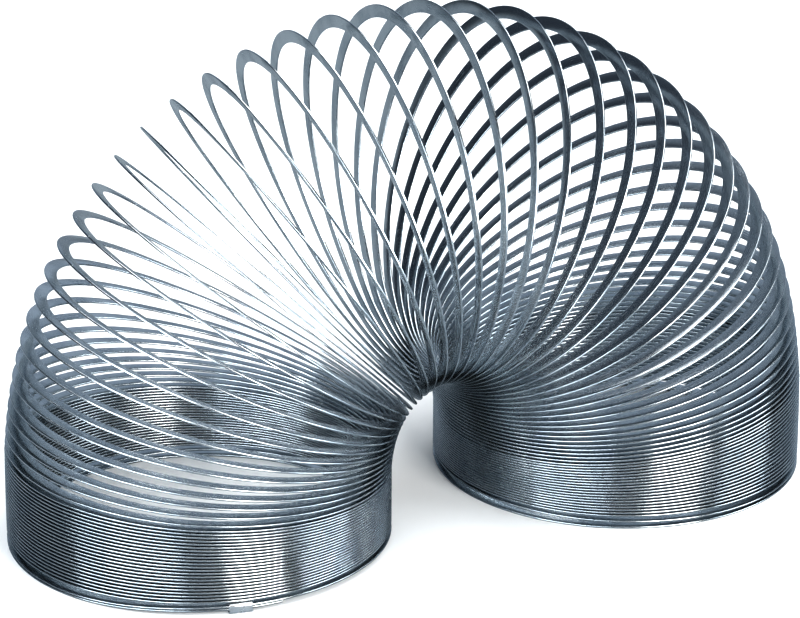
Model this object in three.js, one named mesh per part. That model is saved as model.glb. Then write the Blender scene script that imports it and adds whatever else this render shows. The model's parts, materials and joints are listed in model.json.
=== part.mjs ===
// A metal walking spring: one long flat wire wound edge to edge into a left-handed coil,
// standing as an arch on its two ends. Each end of the wire is held to its neighbour by a
// small crimped clip. The coil is divided turn by turn along the arch, so that every turn
// can tip against the one before it at the point where they touch.
//
// Frame: millimetres, +Z up, the arch lies in the XZ plane, and the origin is on the
// resting surface midway between the two feet.

import * as THREE from 'three';

// ---- wire and coil --------------------------------------------------------------------
const outerDiameter = 70; // over the wire
const wireWidth = 2.5; // radial
const wireThickness = 0.38; // along the coil's axis
const turnGap = 0.07; // between closed turns, on the inner side of each leg

// ---- arch -----------------------------------------------------------------------------
const archTurns = 46; // open turns, over which the coil swings from one leg to the other
const archPitch = 0.68; // from one open turn to the next, on the inner side of the arch
const archSkew = 0.134; // opens the turns over the left leg sooner than those over the right
const archCrowding = 0.381; // holds the turns over both legs closer than those at the crown

// ---- legs -----------------------------------------------------------------------------
const leftLegTurns = 24; // whole turns below the first open one
const leftLean = 4.46; // degrees, by which the topmost turn of the leg leans towards the arch
const rightLean = 5.9;
const leftEndAzimuth = -87; // degrees about the leg's axis, where the wire's end points
const rightEndAzimuth = 93; // so that the two clips stand opposite each other

// ---- end clips ------------------------------------------------------------------------
const clipLength = 4.2; // along the wire
const clipWall = 0.4;
const clipClearance = 0.12; // to the wire inside it and to the turn above it
const clipCornerRadius = 0.3;
const wireTail = 5.6; // bare wire past the clip
const climbStart = 0.72; // of a turn from the wire's end, where it starts to climb over that end
const dropTurns = 0.12; // over which the wire comes down again past the clip

// ---- fineness -------------------------------------------------------------------------
const facetsPerTurn = 20;
const facetsPerFootTurn = 48;
const cutGap = 0.3; // between the ends of neighbouring lengths of wire

const turnPitch = wireThickness + turnGap; // from one closed turn to the next
const outerRadius = outerDiameter / 2;
const middleRadius = outerRadius - wireWidth / 2;
const wireLengthPerTurn = 2 * Math.PI * outerRadius;
const cutShare = cutGap / 2 / wireLengthPerTurn; // half a cut, in turns
const clipLift = clipWall + clipClearance; // how far the clip's floor lifts the wire's end
const tailShare = wireTail / wireLengthPerTurn;
const clipShare = clipLength / wireLengthPerTurn;
const clipTurn = tailShare + clipShare / 2; // where the clip sits, in turns from the wire's end
const clipBow = clipLength ** 2 / 8 / middleRadius; // how far the coil curves off the straight clip
const clearOfClip = clipShare / 2 + 1 / facetsPerFootTurn; // a whole facet past the clip's end
const footTurns = 2;
// The turn above the clip clears it, so the leg stands this much higher than closed turns would.
const footGap = clipLift + clipLift + clipClearance - (turnPitch - wireThickness);
const legBase = wireThickness / 2 + footTurns * turnPitch + footGap;

const steel = (color, roughness) => new THREE.MeshStandardMaterial({ color, roughness, metalness: 1 });
const wireMaterial = steel(0x9aa4ac, 0.28);
const clipMaterial = steel(0xc9ced2, 0.22);

// ---- laws of the coil -----------------------------------------------------------------

// Goes softly from 0 to 1 between two values.
function ramp(value, from, to) {
  return THREE.MathUtils.smoothstep(value, from, to);
}

// How far the coil's axis has swung over, in radians, at an open turn counted from the left.
function turnAngle(turn) {
  const share = (turn - 0.5) / archTurns;
  const from = THREE.MathUtils.degToRad(leftLean);
  const to = Math.PI - THREE.MathUtils.degToRad(rightLean);
  return (
    THREE.MathUtils.lerp(from, to, share) +
    archSkew * Math.sin(share * Math.PI) -
    archCrowding * Math.sin(share * 2 * Math.PI)
  );
}

// Height of the wire's middle in a leg, in turns from the wire's end. The end and the turn
// over it rise into the clip, and the rest of the first turn lies flat on the surface.
function legHeight(turn, pitch) {
  const pastClip = clipTurn + clearOfClip;
  const down = pastClip + dropTurns;
  const overClip = 1 + clipTurn - clearOfClip;
  return (
    wireThickness / 2 +
    clipLift * (1 - ramp(turn, pastClip, down)) +
    (turnPitch + clipLift) * ramp(turn, climbStart, overClip) -
    clipLift * ramp(turn, 1 + pastClip, 1 + down) +
    (turnPitch + footGap) * ramp(turn, 1 + down, footTurns) +
    pitch * Math.max(0, turn - footTurns)
  );
}

// ---- solids ---------------------------------------------------------------------------

// A length of flat wire from one turn count to another. The strip is a long box whose
// slices are set round the coil, clockwise seen from above, which winds it left-handed.
// Each slice leans about the point touchX on the coil's inner side.
function wireGeometry(from, to, facets, startAzimuth, touchX, heightAt, leanAt) {
  const count = Math.max(2, Math.round((to - from) * facets));
  const strip = new THREE.BoxGeometry(wireWidth, wireThickness, 1, 1, 1, count);
  const corner = strip.attributes.position;
  for (let i = 0; i < corner.count; i += 1) {
    const turn = from + (corner.getZ(i) + 0.5) * (to - from);
    const azimuth = startAzimuth - turn * 2 * Math.PI;
    const radius = middleRadius + corner.getX(i);
    const across = radius * Math.cos(azimuth) - touchX;
    const up = corner.getY(i);
    const lean = leanAt(turn);
    corner.setXYZ(
      i,
      touchX + across * Math.cos(lean) + up * Math.sin(lean),
      radius * Math.sin(azimuth),
      heightAt(turn) - across * Math.sin(lean) + up * Math.cos(lean),
    );
  }
  strip.computeVertexNormals();
  return strip;
}

// A rectangle with rounded corners, centred on the origin.
function roundedRectangle(path, width, height, radius) {
  const x = width / 2;
  const y = height / 2;
  path.moveTo(radius - x, -y);
  path.lineTo(x - radius, -y);
  path.absarc(x - radius, radius - y, radius, -Math.PI / 2, 0);
  path.lineTo(x, y - radius);
  path.absarc(x - radius, y - radius, radius, 0, Math.PI / 2);
  path.lineTo(radius - x, y);
  path.absarc(radius - x, y - radius, radius, Math.PI / 2, Math.PI);
  path.lineTo(-x, radius - y);
  path.absarc(radius - x, radius - y, radius, Math.PI, 1.5 * Math.PI);
  return path;
}

// The crimped clip: a flat sleeve round the wire's end and the turn that lies on it.
function clipGeometry() {
  const innerWidth = wireWidth + 2 * clipClearance + clipBow;
  const innerHeight = turnPitch + wireThickness + 2 * clipClearance;
  const outline = roundedRectangle(
    new THREE.Shape(),
    innerWidth + 2 * clipWall,
    innerHeight + 2 * clipWall,
    clipCornerRadius,
  );
  const opening = new THREE.Path();
  opening.moveTo(-innerWidth / 2, -innerHeight / 2);
  opening.lineTo(-innerWidth / 2, innerHeight / 2);
  opening.lineTo(innerWidth / 2, innerHeight / 2);
  opening.lineTo(innerWidth / 2, -innerHeight / 2);
  opening.closePath();
  outline.holes.push(opening);
  const sleeve = new THREE.ExtrudeGeometry(outline, {
    depth: clipLength,
    bevelEnabled: false,
    curveSegments: 3,
  });
  sleeve.translate(0, 0, -clipLength / 2);
  return sleeve;
}

// ---- assembly -------------------------------------------------------------------------

const spring = new THREE.Group();
spring.name = 'walking_spring';

function addPiece(parent, name, geometry, material) {
  const piece = new THREE.Mesh(geometry, material);
  piece.name = name;
  parent.add(piece);
  return piece;
}

// A leg: its foot of two turns, the closed turns above it, and the clip on the wire's end.
// The foot lies flat, and each turn above it leans a little more towards the arch. The inner
// side, where the wire reaches the arch, is towards +X for inwards = 1 and -X for -1.
function addLeg(side, inwards, touchX, endAzimuth, topTurn, pitch, topLean) {
  const leg = new THREE.Group();
  leg.position.x = touchX - inwards * outerRadius;
  spring.add(leg);
  const start = THREE.MathUtils.degToRad(endAzimuth);
  const innerX = inwards * outerRadius;
  const heightAt = (turn) => legHeight(turn, pitch);
  const lean = inwards * THREE.MathUtils.degToRad(topLean);
  const leaningTurns = topTurn - 0.5 - footTurns;
  const leanAt = (turn) => lean * THREE.MathUtils.clamp((turn - footTurns) / leaningTurns, 0, 1);
  const footEnd = footTurns - cutShare;
  const stackStart = footTurns + cutShare;
  const stackEnd = topTurn - cutShare;
  const foot = wireGeometry(0, footEnd, facetsPerFootTurn, start, innerX, heightAt, leanAt);
  addPiece(leg, `${side}_foot_coil`, foot, wireMaterial);
  const stack = wireGeometry(stackStart, stackEnd, facetsPerTurn, start, innerX, heightAt, leanAt);
  addPiece(leg, `${side}_leg_coil`, stack, wireMaterial);

  const clip = addPiece(leg, `${side}_end_clip`, clipGeometry(), clipMaterial);
  const azimuth = start - clipTurn * 2 * Math.PI;
  const halfHeight = (turnPitch + wireThickness) / 2 + clipClearance + clipWall;
  const radius = middleRadius - clipBow / 2;
  clip.position.set(radius * Math.cos(azimuth), radius * Math.sin(azimuth), halfHeight);
  // across the wire is radial, the sleeve's height is vertical and its length is tangential
  clip.quaternion.setFromRotationMatrix(
    new THREE.Matrix4().makeBasis(
      new THREE.Vector3(Math.cos(azimuth), Math.sin(azimuth), 0),
      new THREE.Vector3(0, 0, 1),
      new THREE.Vector3(Math.sin(azimuth), -Math.cos(azimuth), 0),
    ),
  );
}

// Part of a turn from a wire's end, clockwise, to where the coil meets the arch.
function partTurn(endAzimuth, innerAzimuth) {
  return THREE.MathUtils.euclideanModulo(endAzimuth - innerAzimuth, 360) / 360;
}

// Left leg: its inner side faces +X.
const leftTop = leftLegTurns + partTurn(leftEndAzimuth, 0);
const leftHeight = legHeight(leftTop, turnPitch);

// The touching points of neighbouring turns, from the left leg to the right one.
const touching = [{ x: 0, z: leftHeight }];
for (let turn = 1; turn <= archTurns; turn += 1) {
  const last = touching[touching.length - 1];
  const angle = turnAngle(turn);
  touching.push({ x: last.x + archPitch * Math.sin(angle), z: last.z + archPitch * Math.cos(angle) });
}
const legsApart = touching[touching.length - 1].x;
for (const point of touching) point.x -= legsApart / 2;

addLeg('left', 1, -legsApart / 2, leftEndAzimuth, leftTop, turnPitch, leftLean);

// The open turns of the arch. Each starts at the point where it meets the turn before.
for (let turn = 1; turn <= archTurns; turn += 1) {
  const at = touching[turn - 1];
  const rise = (part) => archPitch * part;
  const level = () => 0;
  const geometry = wireGeometry(cutShare, 1 - cutShare, facetsPerTurn, 0, outerRadius, rise, level);
  geometry.translate(-outerRadius, 0, 0);
  const piece = addPiece(spring, `arch_turn_${String(turn).padStart(2, '0')}`, geometry, wireMaterial);
  piece.position.set(at.x, 0, at.z);
  piece.rotation.y = turnAngle(turn);
}

// Right leg: its inner side faces -X. As many turns as fit close up below the arch.
const rightHeight = touching[touching.length - 1].z;
const rightPart = partTurn(rightEndAzimuth, 180);
const rightLegTurns = Math.floor((rightHeight - legBase) / turnPitch + footTurns - rightPart);
const rightTop = rightLegTurns + rightPart;
const rightPitch = (rightHeight - legBase) / (rightTop - footTurns);
addLeg('right', -1, legsApart / 2, rightEndAzimuth, rightTop, rightPitch, rightLean);

export default spring;
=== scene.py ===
import json
import math

import bmesh
import bpy
from mathutils import Matrix, Vector

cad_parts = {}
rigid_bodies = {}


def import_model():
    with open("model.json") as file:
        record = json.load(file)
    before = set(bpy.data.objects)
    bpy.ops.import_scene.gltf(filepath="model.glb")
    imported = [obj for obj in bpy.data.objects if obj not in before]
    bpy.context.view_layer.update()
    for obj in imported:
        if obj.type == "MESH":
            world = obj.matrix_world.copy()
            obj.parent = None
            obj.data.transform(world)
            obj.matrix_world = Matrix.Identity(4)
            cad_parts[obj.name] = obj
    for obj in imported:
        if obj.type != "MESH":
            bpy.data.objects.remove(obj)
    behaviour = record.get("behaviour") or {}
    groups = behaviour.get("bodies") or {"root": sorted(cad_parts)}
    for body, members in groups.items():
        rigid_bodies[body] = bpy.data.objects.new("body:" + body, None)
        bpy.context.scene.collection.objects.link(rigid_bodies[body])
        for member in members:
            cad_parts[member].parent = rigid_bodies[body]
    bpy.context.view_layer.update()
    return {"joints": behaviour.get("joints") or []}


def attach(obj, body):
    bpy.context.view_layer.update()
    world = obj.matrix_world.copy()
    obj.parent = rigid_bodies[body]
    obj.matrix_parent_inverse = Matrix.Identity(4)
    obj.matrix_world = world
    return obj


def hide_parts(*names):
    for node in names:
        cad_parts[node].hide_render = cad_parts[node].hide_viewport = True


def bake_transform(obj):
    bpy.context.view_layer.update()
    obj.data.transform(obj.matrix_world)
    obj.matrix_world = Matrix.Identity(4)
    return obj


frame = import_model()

# A metal walking spring: one flat wire wound left-handed, standing as an arch on its two
# ends, with a crimped clip on each end. Every length of wire bends between the two bodies
# it joins, so the coil stays one unbroken wire as the arch closes and the legs stretch.

MM = 0.001

# ---- sizes ----------------------------------------------------------------------------
COIL_RADIUS = 35.0 * MM  # where neighbouring turns touch
OUTER_RADIUS = 34.93 * MM
WIRE_WIDTH = 2.42 * MM
WIRE_THICKNESS = 0.36 * MM
WIRE_ROUND = 0.12 * MM
WIRE_MIDDLE = 0.19 * MM  # above the table
TURN_PITCH = 0.45 * MM  # of closed turns, on the inner side of a leg
ARCH_PITCH = 0.68 * MM  # of open turns, on the inner side of the arch
MIDDLE_RADIUS = OUTER_RADIUS - WIRE_WIDTH / 2
SLICES_PER_TURN = 120

FOOT_TURNS = 2
LEFT_END_AZIMUTH = -87
RIGHT_END_AZIMUTH = 93
LEFT_LEG_TURNS = 24
LEFT_LEAN = math.radians(4.46)
RIGHT_LEAN = math.radians(5.9)
TURNS_BEFORE_RIGHT_LEG = 200  # only so that its drawn lines differ from the rest
TENON = 0.94  # how slim a length of wire is where it slips inside the next

CLIP_LENGTH = 4.15 * MM
CLIP_WALL = 0.36 * MM
CLIP_CLEARANCE = 0.14 * MM
CLIP_LIFT = 0.52 * MM
WIRE_TAIL = 5.6 * MM
CLIMB_START = 0.72
DROP_TURNS = 0.12

# Where a smooth blend has gone a quarter of its way.
QUARTER_WAY = 0.326352

PER_TURN = math.tau * COIL_RADIUS
CLIP_TURN = (WIRE_TAIL + CLIP_LENGTH / 2) / PER_TURN
FACETS_PER_FOOT_TURN = 48
CLEAR_OF_CLIP = CLIP_LENGTH / PER_TURN / 2 + 1 / FACETS_PER_FOOT_TURN
CLOSED_GAP = 0.07 * MM
ABOVE_CLIP = 0.12 * MM  # to the turn over it
FOOT_GAP = 2 * CLIP_LIFT + ABOVE_CLIP - CLOSED_GAP
LEG_BASE = WIRE_MIDDLE + FOOT_TURNS * TURN_PITCH + FOOT_GAP

# ---- finishes -------------------------------------------------------------------------


def new_group(name, inputs, outputs):
    """A shader node group with named sockets, and its input and output nodes."""
    group = bpy.data.node_groups.new(name, "ShaderNodeTree")
    for label, kind, default in inputs:
        socket = group.interface.new_socket(label, in_out="INPUT", socket_type=kind)
        if default is not None:
            socket.default_value = default
    for label, kind in outputs:
        group.interface.new_socket(label, in_out="OUTPUT", socket_type=kind)
    return group, group.nodes.new("NodeGroupInput"), group.nodes.new("NodeGroupOutput")


def math_node(tree, operation, first, second, clamp=False):
    node = tree.nodes.new("ShaderNodeMath")
    node.operation = operation
    node.use_clamp = clamp
    for socket, value in zip(node.inputs, (first, second)):
        if isinstance(value, (int, float)):
            socket.default_value = value
        else:
            tree.links.new(value, socket)
    return node.outputs[0]


def noise_node(tree, vector, scale, detail, roughness):
    node = tree.nodes.new("ShaderNodeTexNoise")
    node.inputs["Scale"].default_value = scale
    node.inputs["Detail"].default_value = detail
    node.inputs["Roughness"].default_value = roughness
    tree.links.new(vector, node.inputs["Vector"])
    return node.outputs["Fac"]


def drawn_lines_group():
    """Fine lines that the drawing die leaves along the wire, from 0 to 1."""
    group, given, result = new_group(
        "drawn_lines",
        [
            ("Along and across", "NodeSocketVector", None),
            ("Lines per width", "NodeSocketFloat", 14.0),
            ("Run length", "NodeSocketFloat", 0.35),
        ],
        [("Lines", "NodeSocketFloat")],
    )
    split = group.nodes.new("ShaderNodeSeparateXYZ")
    join = group.nodes.new("ShaderNodeCombineXYZ")
    group.links.new(given.outputs["Along and across"], split.inputs[0])
    along = math_node(group, "MULTIPLY", split.outputs["X"], given.outputs["Run length"])
    across = math_node(group, "MULTIPLY", split.outputs["Y"], given.outputs["Lines per width"])
    group.links.new(along, join.inputs["X"])
    group.links.new(across, join.inputs["Y"])
    group.links.new(noise_node(group, join.outputs[0], 1.0, 3.0, 0.6), result.inputs["Lines"])
    return group


def handling_group():
    """Cloudy marks left by fingers and oil, from 0 to 1."""
    group, given, result = new_group(
        "handling_marks",
        [("Position", "NodeSocketVector", None), ("Size", "NodeSocketFloat", 1.0)],
        [("Marks", "NodeSocketFloat")],
    )
    scaled = group.nodes.new("ShaderNodeVectorMath")
    scaled.operation = "SCALE"
    group.links.new(given.outputs["Position"], scaled.inputs[0])
    group.links.new(given.outputs["Size"], scaled.inputs["Scale"])
    cloud = noise_node(group, scaled.outputs[0], 90.0, 4.0, 0.6)
    spread = group.nodes.new("ShaderNodeMapRange")
    spread.interpolation_type = "SMOOTHSTEP"
    spread.inputs["From Min"].default_value = 0.35
    spread.inputs["From Max"].default_value = 0.68
    group.links.new(cloud, spread.inputs["Value"])
    group.links.new(spread.outputs["Result"], result.inputs["Marks"])
    return group


drawn_lines = drawn_lines_group()
handling_marks = handling_group()


def place_group(tree, group, values):
    node = tree.nodes.new("ShaderNodeGroup")
    node.node_tree = group
    for label, value in values.items():
        if isinstance(value, (int, float)):
            node.inputs[label].default_value = value
        else:
            tree.links.new(value, node.inputs[label])
    return node


def mix_colours(tree, share, first, second):
    node = tree.nodes.new("ShaderNodeMix")
    node.data_type = "RGBA"
    node.inputs["A"].default_value = (*first, 1)
    node.inputs["B"].default_value = (*second, 1)
    tree.links.new(share, node.inputs["Factor"])
    return node.outputs["Result"]


def steel(name, clean, tinted, gloss, marked_gloss, relief):
    """Bright steel: its colour turns a little bluer and duller where it has been handled."""
    material = bpy.data.materials.new(name)
    material.use_nodes = True
    tree = material.node_tree
    surface = tree.nodes["Principled BSDF"]
    surface.inputs["Metallic"].default_value = 1.0
    place = tree.nodes.new("ShaderNodeTexCoord")
    lines = place_group(tree, drawn_lines, {"Along and across": place.outputs["UV"]})
    marks = place_group(tree, handling_marks, {"Position": place.outputs["Object"], "Size": 1.0})
    colour = mix_colours(tree, marks.outputs["Marks"], clean, tinted)
    tree.links.new(colour, surface.inputs["Base Color"])
    both = math_node(tree, "MULTIPLY", marks.outputs["Marks"], lines.outputs["Lines"])
    rough = math_node(tree, "MULTIPLY", both, marked_gloss - gloss)
    tree.links.new(math_node(tree, "ADD", rough, gloss), surface.inputs["Roughness"])
    bump = tree.nodes.new("ShaderNodeBump")
    bump.inputs["Strength"].default_value = relief
    bump.inputs["Distance"].default_value = 0.02 * MM
    tree.links.new(lines.outputs["Lines"], bump.inputs["Height"])
    tree.links.new(bump.outputs["Normal"], surface.inputs["Normal"])
    return material


WIRE_STEEL = steel("drawn_spring_steel", (0.74, 0.77, 0.785), (0.50, 0.545, 0.58), 0.13, 0.40, 0.12)
CLIP_STEEL = steel("plated_clip_steel", (0.93, 0.94, 0.95), (0.80, 0.82, 0.84), 0.25, 0.5, 0.15)

# ---- wire -----------------------------------------------------------------------------


def wire_strip(first, last, end_azimuth):
    """Flat wire with rounded edges from one turn count to another, wound round the Z axis
    clockwise as seen from above, all at one height. Each vertex keeps its turn count. One
    slimmer slice more at both ends slips inside the neighbouring lengths."""
    steps = max(2, round((last - first) * SLICES_PER_TURN))
    slice_turns = (last - first) / steps
    first, last, steps = first - slice_turns, last + slice_turns, steps + 2
    bm = bmesh.new()
    turn = bm.verts.layers.float.new("turn")
    bmesh.ops.create_grid(bm, x_segments=1, y_segments=1, size=0.5)
    bmesh.ops.scale(bm, vec=(WIRE_WIDTH, WIRE_THICKNESS, 1), verts=bm.verts)
    bmesh.ops.bevel(
        bm, geom=bm.verts[:], offset=WIRE_ROUND, offset_type="OFFSET", segments=3,
        profile=0.5, affect="VERTICES", material=-1,
    )
    bmesh.ops.delete(bm, geom=bm.faces[:], context="FACES_ONLY")
    bmesh.ops.rotate(bm, matrix=Matrix.Rotation(math.pi / 2, 3, "X"), verts=bm.verts)
    bmesh.ops.translate(bm, vec=(MIDDLE_RADIUS, 0, 0), verts=bm.verts)
    begin = math.radians(end_azimuth) - math.tau * first
    bmesh.ops.rotate(bm, matrix=Matrix.Rotation(begin, 3, "Z"), verts=bm.verts)
    around = len(bm.verts)
    bmesh.ops.spin(
        bm, geom=bm.verts[:] + bm.edges[:], axis=(0, 0, -1), angle=math.tau * (last - first),
        steps=steps,
    )
    caps = bmesh.ops.holes_fill(bm, edges=[e for e in bm.edges if e.is_boundary], sides=0)
    for face in bm.faces:
        face.smooth = True
    for face in caps["faces"]:
        for edge in face.edges:
            edge.smooth = False
    bm.verts.index_update()
    for vert in bm.verts:
        ring = vert.index // around
        vert[turn] = first + ring * slice_turns
        if ring in (0, steps):
            middle = Vector((vert.co.x, vert.co.y, 0)).normalized() * MIDDLE_RADIUS
            vert.co = middle + (vert.co - middle) * TENON
    return bm, turn


def lay_uvs(bm, turn, turns_before):
    """Length along the whole wire and place across it, both in wire widths."""
    layer = bm.loops.layers.uv.new("along_wire")
    for face in bm.faces:
        for loop in face.loops:
            point = loop.vert.co
            along = (turns_before + loop.vert[turn]) * math.tau * MIDDLE_RADIUS / WIRE_WIDTH
            loop[layer].uv = (along, (math.hypot(point.x, point.y) - MIDDLE_RADIUS) / WIRE_WIDTH)


def finish_piece(bm, name, material, nodes):
    bmesh.ops.recalc_face_normals(bm, faces=bm.faces)
    mesh = bpy.data.meshes.new(name)
    bm.to_mesh(mesh)
    bm.free()
    piece = bpy.data.objects.new(name, mesh)
    bpy.context.scene.collection.objects.link(piece)
    mesh.materials.append(material)
    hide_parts(*nodes)
    return piece


def wire_piece(name, first, last, end_azimuth, turns_before, where, nodes):
    """A length of wire whose points are moved from a flat ring to where they belong."""
    bm, turn = wire_strip(first, last, end_azimuth)
    lay_uvs(bm, turn, turns_before)
    for vert in bm.verts:
        vert.co = where(vert[turn], vert.co)
    return finish_piece(bm, name, WIRE_STEEL, nodes)


# ---- arch -----------------------------------------------------------------------------

joints = {j["child"]: j for j in frame["joints"] if j["name"].startswith("tip_")}
parents = {j["parent"]: j for j in joints.values()}
chain = []
body = "left_leg"
while body in parents:
    chain.append(parents[body])
    body = parents[body]["child"]


def coil_nodes(name):
    return f"arch_{name}" if name.startswith("turn_") else f"{name}_coil"


# Each junction's wire runs from the outer side of one turn, by the back, the touching
# point and the front, to the outer side of the next, and its lean grows evenly on the way.
reach = MIDDLE_RADIUS / QUARTER_WAY
middle_reach = MIDDLE_RADIUS / (1 - 2 * QUARTER_WAY)
ARCH_PARTS = (
    ("back", -0.5, -0.25, 0, reach),
    ("inner", -0.25, 0.25, middle_reach, -middle_reach),
    ("front", 0.25, 0.5, -reach, 0),
)


def leg_turns(end_azimuth, inner_azimuth, hinge_height, whole_turns):
    """How many turns a leg has up to the arch, and how far apart its closed turns lie."""
    part = ((end_azimuth - inner_azimuth) % 360) / 360
    if whole_turns is None:
        whole_turns = math.floor((hinge_height - LEG_BASE) / TURN_PITCH + FOOT_TURNS - part)
    top = whole_turns + part
    return top, (hinge_height - LEG_BASE) / (top - FOOT_TURNS)


left_hinge, right_hinge = Vector(chain[0]["pos_m"]), Vector(chain[-1]["pos_m"])
left_top, left_pitch = leg_turns(LEFT_END_AZIMUTH, 0, left_hinge.z, LEFT_LEG_TURNS)
right_top, right_pitch = leg_turns(RIGHT_END_AZIMUTH, 180, right_hinge.z, None)
pitches = {"left_leg": left_pitch, "right_leg": right_pitch}
lean_before = LEFT_LEAN
for number, joint in enumerate(chain):
    before, after = joint["parent"], joint["child"]
    wedge = math.radians(-joint["range_deg"][0])
    hinge = Vector(joint["pos_m"])
    rises = (pitches.get(before, ARCH_PITCH), pitches.get(after, ARCH_PITCH))

    def on_arch(turn, point, hinge=hinge, lean=lean_before, wedge=wedge, rises=rises):
        rise = turn * rises[0 if turn < 0 else 1]
        offset = Vector((point.x - COIL_RADIUS, point.y, point.z + rise))
        return hinge + Matrix.Rotation(lean + wedge * (turn + 0.5), 3, "Y") @ offset

    for part, first, last, start_y, end_y in ARCH_PARTS:
        owner = before if part == "back" else after
        nodes = [coil_nodes(before), coil_nodes(after)] if part == "inner" else [coil_nodes(owner)]
        piece = wire_piece(
            f"wire_{after}_{part}", first, last, 0, left_top + number, on_arch, nodes
        )
        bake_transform(piece)
    lean_before += wedge

# ---- legs -----------------------------------------------------------------------------


def ramp(value, start, end):
    share = min(1, max(0, (value - start) / (end - start)))
    return share * share * (3 - 2 * share)


def leg_height(turn, pitch):
    """Height of the wire's middle, in turns from the wire's end at the bottom of a leg."""
    past_clip = CLIP_TURN + CLEAR_OF_CLIP
    down = past_clip + DROP_TURNS
    return (
        WIRE_MIDDLE
        + CLIP_LIFT * (1 - ramp(turn, past_clip, down))
        + (TURN_PITCH + CLIP_LIFT) * ramp(turn, CLIMB_START, 1 + CLIP_TURN - CLEAR_OF_CLIP)
        - CLIP_LIFT * ramp(turn, 1 + past_clip, 1 + down)
        + (TURN_PITCH + FOOT_GAP) * ramp(turn, 1 + down, FOOT_TURNS)
        + pitch * max(0, turn - FOOT_TURNS)
    )


def make_leg(side, inwards, touch_x, end_azimuth, top, pitch, top_lean, turns_before):
    """A leg whose inner side faces +X for inwards = 1 and -X for -1. Each turn above the
    foot leans a little more towards the arch."""
    # the foot ends, and each half turn above it starts, where the wire runs along X
    quarter = ((end_azimuth + 90) % 180) / 360
    start = FOOT_TURNS + quarter
    end = top - 0.5

    def on_leg(turn, point):
        share = min(1, max(0, (turn - FOOT_TURNS) / (end - FOOT_TURNS)))
        offset = Vector((point.x - inwards * COIL_RADIUS, point.y, point.z))
        place = Vector((touch_x, 0, leg_height(turn, pitch)))
        return place + Matrix.Rotation(inwards * top_lean * share, 3, "Y") @ offset

    foot, leg = f"{side}_foot", f"{side}_leg"
    piece = wire_piece(
        f"{side}_foot_wire", 1 / SLICES_PER_TURN, start, end_azimuth, turns_before, on_leg,
        [f"{foot}_coil"],
    )
    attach(piece, foot)
    first, number = start, 1
    while first < end - 1e-6:
        last = min(first + 0.5, end)
        piece = wire_piece(
            f"{side}_leg_wire_{number:02d}", first, last, end_azimuth, turns_before, on_leg,
            [f"{leg}_coil"],
        )
        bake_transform(piece)
        first, number = last, number + 1


left_centre = left_hinge.x - COIL_RADIUS
right_centre = right_hinge.x + COIL_RADIUS
make_leg("left", 1, left_hinge.x, LEFT_END_AZIMUTH, left_top, left_pitch, LEFT_LEAN, 0)
make_leg(
    "right", -1, right_hinge.x, RIGHT_END_AZIMUTH, right_top, right_pitch, RIGHT_LEAN,
    TURNS_BEFORE_RIGHT_LEG,
)

# ---- clips ----------------------------------------------------------------------------


def make_clip(side, centre_x, end_azimuth):
    """A sleeve of sheet steel, crimped flat round the wire's end and the turn on it."""
    bow = CLIP_LENGTH ** 2 / 8 / MIDDLE_RADIUS  # how far the coil curves off the straight clip
    inner_width = WIRE_WIDTH + 2 * CLIP_CLEARANCE + bow
    inner_height = TURN_PITCH + WIRE_THICKNESS + 2 * CLIP_CLEARANCE
    bm = bmesh.new()
    bmesh.ops.create_grid(bm, x_segments=1, y_segments=1, size=0.5)
    size = (inner_width + 2 * CLIP_WALL, inner_height + 2 * CLIP_WALL, 1)
    bmesh.ops.scale(bm, vec=size, verts=bm.verts)
    bmesh.ops.bevel(
        bm, geom=bm.verts[:], offset=0.42 * MM, offset_type="OFFSET", segments=5,
        profile=0.5, affect="VERTICES", material=-1,
    )
    grown = bmesh.ops.extrude_face_region(bm, geom=bm.faces[:], use_keep_orig=True)
    moved = [g for g in grown["geom"] if isinstance(g, bmesh.types.BMVert)]
    bmesh.ops.translate(bm, vec=(0, 0, CLIP_LENGTH), verts=moved)
    bmesh.ops.translate(bm, vec=(0, 0, -CLIP_LENGTH / 2), verts=bm.verts)
    ends = [f for f in bm.faces if abs(f.normal.z) > 0.9]
    bmesh.ops.inset_individual(bm, faces=ends, thickness=CLIP_WALL, use_even_offset=True)
    rims = [e for f in ends for e in f.edges]
    bmesh.ops.delete(bm, geom=ends, context="FACES_ONLY")
    bmesh.ops.bridge_loops(bm, edges=rims)
    bmesh.ops.recalc_face_normals(bm, faces=bm.faces)
    outer = [e for e in bm.edges if e.calc_face_angle(0) > 1.2]
    bmesh.ops.bevel(
        bm, geom=outer, offset=0.06 * MM, offset_type="OFFSET", segments=2,
        profile=0.5, affect="EDGES", material=-1,
    )
    for face in bm.faces:
        face.smooth = True
    layer = bm.loops.layers.uv.new("along_wire")
    for face in bm.faces:
        for loop in face.loops:
            loop[layer].uv = (loop.vert.co.z / WIRE_WIDTH, loop.vert.co.x / WIRE_WIDTH)
    azimuth = math.radians(end_azimuth) - math.tau * CLIP_TURN
    outwards = Vector((math.cos(azimuth), math.sin(azimuth), 0))
    along = Vector((math.sin(azimuth), -math.cos(azimuth), 0))
    frame_matrix = Matrix((outwards, Vector((0, 0, 1)), along)).transposed().to_4x4()
    half_height = (TURN_PITCH + WIRE_THICKNESS) / 2 + CLIP_CLEARANCE + CLIP_WALL + 0.01 * MM
    place = Vector((centre_x, 0, half_height)) + outwards * (MIDDLE_RADIUS - bow / 2)
    bmesh.ops.transform(bm, matrix=Matrix.Translation(place) @ frame_matrix, verts=bm.verts)
    piece = finish_piece(bm, f"{side}_clip", CLIP_STEEL, [f"{side}_end_clip"])
    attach(piece, f"{side}_foot")


make_clip("left", left_centre, LEFT_END_AZIMUTH)
make_clip("right", right_centre, RIGHT_END_AZIMUTH)

# ---- floor, light and camera ----------------------------------------------------------


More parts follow.
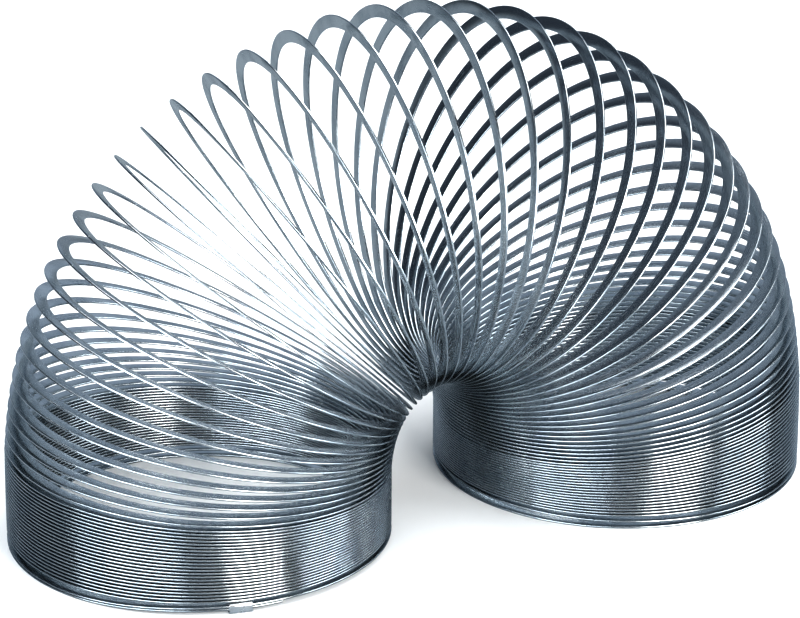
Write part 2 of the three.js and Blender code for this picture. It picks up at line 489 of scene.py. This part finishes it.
def table_paper_with_painted_reflection():
    """Pale paper to the camera. Every other ray, reflections in the polished steel too, sees it as a
    dim slate
    table: a painted reflection, so that the steel's own bright and dark bands stay crisp."""
    material = bpy.data.materials.new("pale_table_painted_dark_in_reflection")
    material.use_nodes = True
    tree = material.node_tree
    surface = tree.nodes["Principled BSDF"]
    surface.inputs["Roughness"].default_value = 0.9
    surface.inputs["Specular IOR Level"].default_value = 0.0
    ray = tree.nodes.new("ShaderNodeLightPath")
    # painted reflection: the camera sees the paper pale, and every other ray sees a dark slate colour
    colour = mix_colours(tree, ray.outputs["Is Camera Ray"], (0.235, 0.265, 0.29), (0.94, 0.94, 0.94))
    tree.links.new(colour, surface.inputs["Base Color"])
    return material


def make_floor():
    bm = bmesh.new()
    bmesh.ops.create_circle(bm, cap_ends=True, segments=64, radius=6.0)
    mesh = bpy.data.meshes.new("floor")
    bm.to_mesh(mesh)
    bm.free()
    floor = bpy.data.objects.new("floor", mesh)
    bpy.context.scene.collection.objects.link(floor)
    mesh.materials.append(table_paper_with_painted_reflection())


def softbox(name, azimuth, elevation, distance, width, height, power, colour):
    """A flat light facing the toy. Azimuth is counted from +X, as seen from above."""
    light = bpy.data.lights.new(name, "AREA")
    light.shape = "RECTANGLE"
    light.size, light.size_y = width, height
    light.energy = power
    light.color = colour
    lamp = bpy.data.objects.new(name, light)
    bpy.context.scene.collection.objects.link(lamp)
    a, e = math.radians(azimuth), math.radians(elevation)
    aim = Vector((math.cos(a) * math.cos(e), math.sin(a) * math.cos(e), math.sin(e)))
    lamp.location = Vector((0, 0, 0.03)) + aim * distance
    lamp.rotation_euler = aim.to_track_quat("Z", "Y").to_euler()


def make_world():
    """A dim room: a slate wall behind to the right, dark to the left and behind the camera."""
    world = bpy.data.worlds.new("studio")
    bpy.context.scene.world = world
    world.use_nodes = True
    tree = world.node_tree
    sky = tree.nodes["Background"]
    place = tree.nodes.new("ShaderNodeTexCoord")
    towards = tree.nodes.new("ShaderNodeVectorMath")
    towards.operation = "DOT_PRODUCT"
    towards.inputs[1].default_value = (0.56, 0.82, 0.10)
    tree.links.new(place.outputs["Generated"], towards.inputs[0])
    wall = tree.nodes.new("ShaderNodeValToRGB")
    stops = wall.color_ramp
    stops.elements[0].position, stops.elements[0].color = 0.0, (0.030, 0.036, 0.045, 1)
    stops.elements[1].position, stops.elements[1].color = 1.0, (0.26, 0.31, 0.37, 1)
    shoulder = stops.elements.new(0.6)
    shoulder.color = (0.045, 0.055, 0.07, 1)
    tree.links.new(towards.outputs["Value"], wall.inputs["Fac"])
    tree.links.new(wall.outputs["Color"], sky.inputs["Color"])
    sky.inputs["Strength"].default_value = 1.0


def make_camera():
    azimuth, elevation = math.radians(-24.568), math.radians(21.299)
    roll = math.radians(0.1887)
    back = Vector((
        math.sin(azimuth) * math.cos(elevation),
        -math.cos(azimuth) * math.cos(elevation),
        math.sin(elevation),
    ))
    level = Vector((math.cos(azimuth), math.sin(azimuth), 0))
    upright = back.cross(level)
    across = math.cos(roll) * level + math.sin(roll) * upright
    up = -math.sin(roll) * level + math.cos(roll) * upright
    lens = bpy.data.cameras.new("camera")
    lens.lens = 146.15
    lens.sensor_width = 36
    lens.clip_start, lens.clip_end = 0.01, 50
    camera = bpy.data.objects.new("camera", lens)
    bpy.context.scene.collection.objects.link(camera)
    turned = Matrix((across, up, back)).transposed().to_4x4()
    target = Vector((-2.738, 0, 36.673)) * MM
    camera.matrix_world = Matrix.Translation(target + back * 594.24 * MM) @ turned
    bpy.context.scene.camera = camera


make_floor()
softbox("front_softbox", -80, 14, 1.1, 0.60, 1.0, 13.0, (1.0, 0.97, 0.93))
softbox("right_softbox", -34, 12, 1.3, 0.8, 0.8, 8.5, (0.86, 0.94, 1.0))
softbox("left_softbox", -152, 8, 1.3, 1.5, 0.7, 17.0, (0.86, 0.94, 1.0))
softbox("top_softbox", 60, 80, 1.4, 1.5, 1.5, 20, (0.97, 0.99, 1.0))
make_world()
make_camera()
bpy.context.scene.view_settings.view_transform = "Standard"
bpy.context.scene.view_settings.look = "High Contrast"
bpy.context.scene.view_settings.exposure = 0.12
